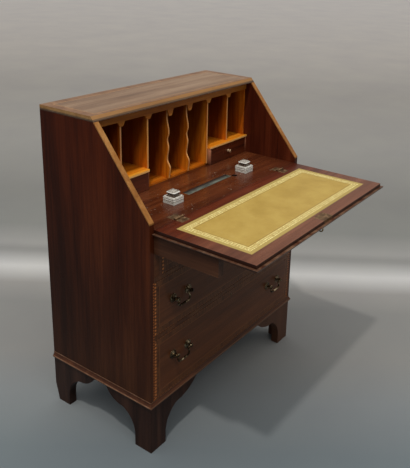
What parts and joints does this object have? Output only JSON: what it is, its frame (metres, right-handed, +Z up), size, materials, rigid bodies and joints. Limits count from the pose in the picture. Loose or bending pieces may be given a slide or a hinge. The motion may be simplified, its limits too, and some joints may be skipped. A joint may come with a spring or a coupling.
{
  "type": "slant-front desk",
  "caption": "Slant-front writing desk on bracket feet: hinged fall with leather on pull-out lopers, long drawers with swan-neck bails, and a pigeonhole nest.",
  "frame": {"origin": "middle of the overall box on the floor, with the fall open and the lopers out", "axes": "+X to the desk's right as seen from the front, +Y from the front to the back, +Z up"},
  "size_m": [0.7868, 0.7492, 0.99],
  "materials": {
    "mahogany": "polished dark mahogany",
    "mahogany_red": "polished red mahogany with crossbanding",
    "satinwood": "satin golden veneer",
    "lining_wood": "plain wood, waxed",
    "leather": "gold-tooled hide",
    "brass": "polished brass, dark in the hollows",
    "glass": "clear cut glass",
    "tray_wood": "dull grey-green"
  },
  "bodies": {
    "case": {"side_left": "mahogany", "side_right": "mahogany", "top_board": "mahogany", "slant_lippings": "satinwood", "strike_plate": "brass", "back_boards": "lining_wood", "writing_bed": "mahogany_red", "base_board": "lining_wood", "drawer_rails": "mahogany", "dustboards": "lining_wood", "loper_partitions": "lining_wood", "loper_bearers": "mahogany", "plinth_moulding": "mahogany_red", "front_bracket_feet": "mahogany", "rear_bracket_feet": "mahogany", "bed_hinge_leaves": "brass", "nest_case": "satinwood", "nest_partitions": "satinwood", "serpentine_dividers": "satinwood", "nest_shelves": "satinwood", "pigeonhole_valance": "satinwood", "pen_tray": "tray_wood", "inkwell_left": "glass", "inkwell_right": "glass"},
    "fall": {"fall_board": "mahogany_red", "fall_lipping": "mahogany", "fall_leather": "leather", "fall_hinge_leaves": "brass", "fall_lock": "brass", "fall_escutcheon": "brass"},
    "bolt": {"fall_bolt": "brass"},
    "key": {"fall_key": "brass"},
    "loper_left": {"loper_left": "mahogany"},
    "loper_right": {"loper_right": "mahogany"},
    "inkwell_lid_left": {"inkwell_lid_left": "glass"},
    "inkwell_lid_right": {"inkwell_lid_right": "glass"},
    "small_drawer_left": {"small_drawer_left_front": "mahogany", "small_drawer_left_box": "lining_wood", "small_drawer_left_knob": "brass"},
    "small_drawer_right": {"small_drawer_right_front": "mahogany", "small_drawer_right_box": "lining_wood", "small_drawer_right_knob": "brass"},
    "upper_drawer": {"upper_drawer_front": "mahogany", "upper_drawer_box": "lining_wood", "upper_drawer_base": "lining_wood", "upper_drawer_brasses": "brass"},
    "upper_bail_left": {"upper_drawer_bail_left": "brass"},
    "upper_bail_right": {"upper_drawer_bail_right": "brass"},
    "middle_drawer": {"middle_drawer_front": "mahogany", "middle_drawer_box": "lining_wood", "middle_drawer_base": "lining_wood", "middle_drawer_brasses": "brass"},
    "middle_bail_left": {"middle_drawer_bail_left": "brass"},
    "middle_bail_right": {"middle_drawer_bail_right": "brass"},
    "lower_drawer": {"lower_drawer_front": "mahogany", "lower_drawer_box": "lining_wood", "lower_drawer_base": "lining_wood", "lower_drawer_brasses": "brass"},
    "lower_bail_left": {"lower_drawer_bail_left": "brass"},
    "lower_bail_right": {"lower_drawer_bail_right": "brass"}
  },
  "joints": [
    {"name": "fall_hinge", "type": "hinge", "parent": "case", "child": "fall", "pos_m": [0, -0.04241, 0.71607], "axis": [1, 0, 0], "range_deg": [-129.34, 0]},
    {"name": "loper_slide_left", "type": "slide", "parent": "case", "child": "loper_left", "axis": [0, -1, 0], "range_m": [-0.213, 0]},
    {"name": "loper_slide_right", "type": "slide", "parent": "case", "child": "loper_right", "axis": [0, -1, 0], "range_m": [-0.213, 0]},
    {"name": "upper_drawer_slide", "type": "slide", "parent": "case", "child": "upper_drawer", "axis": [0, -1, 0], "range_m": [0, 0.27]},
    {"name": "middle_drawer_slide", "type": "slide", "parent": "case", "child": "middle_drawer", "axis": [0, -1, 0], "range_m": [0, 0.27]},
    {"name": "lower_drawer_slide", "type": "slide", "parent": "case", "child": "lower_drawer", "axis": [0, -1, 0], "range_m": [0, 0.27]},
    {"name": "small_drawer_slide_left", "type": "slide", "parent": "case", "child": "small_drawer_left", "axis": [0, -1, 0], "range_m": [0, 0.09]},
    {"name": "small_drawer_slide_right", "type": "slide", "parent": "case", "child": "small_drawer_right", "axis": [0, -1, 0], "range_m": [0, 0.09]},
    {"name": "upper_bail_swing_left", "type": "hinge", "parent": "upper_drawer", "child": "upper_bail_left", "pos_m": [-0.257, -0.05641, 0.63307], "axis": [-1, 0, 0], "range_deg": [-20, 90]},
    {"name": "upper_bail_swing_right", "type": "hinge", "parent": "upper_drawer", "child": "upper_bail_right", "pos_m": [0.257, -0.05641, 0.63307], "axis": [-1, 0, 0], "range_deg": [-20, 90]},
    {"name": "middle_bail_swing_left", "type": "hinge", "parent": "middle_drawer", "child": "middle_bail_left", "pos_m": [-0.257, -0.05641, 0.47607], "axis": [-1, 0, 0], "range_deg": [-20, 90]},
    {"name": "middle_bail_swing_right", "type": "hinge", "parent": "middle_drawer", "child": "middle_bail_right", "pos_m": [0.257, -0.05641, 0.47607], "axis": [-1, 0, 0], "range_deg": [-20, 90]},
    {"name": "lower_bail_swing_left", "type": "hinge", "parent": "lower_drawer", "child": "lower_bail_left", "pos_m": [-0.257, -0.05641, 0.29003], "axis": [-1, 0, 0], "range_deg": [-20, 90]},
    {"name": "lower_bail_swing_right", "type": "hinge", "parent": "lower_drawer", "child": "lower_bail_right", "pos_m": [0.257, -0.05641, 0.29003], "axis": [-1, 0, 0], "range_deg": [-20, 90]},
    {"name": "key_turn", "type": "hinge", "parent": "fall", "child": "key", "pos_m": [0, -0.34459, 0.67437], "axis": [0, 0, 1], "range_deg": [0, 180]},
    {"name": "bolt_slide", "type": "slide", "parent": "fall", "child": "bolt", "axis": [0, -1, 0], "range_m": [0, 0.009]},
    {"name": "inkwell_lid_lift_left", "type": "slide", "parent": "case", "child": "inkwell_lid_left", "axis": [0, 0, 1], "range_m": [0, 0.03]},
    {"name": "inkwell_lid_lift_right", "type": "slide", "parent": "case", "child": "inkwell_lid_right", "axis": [0, 0, 1], "range_m": [0, 0.03]}
  ],
  "couplings": [
    {"joint": "bolt_slide", "follows": "key_turn", "m_per_rad": 0.00286}
  ]
}
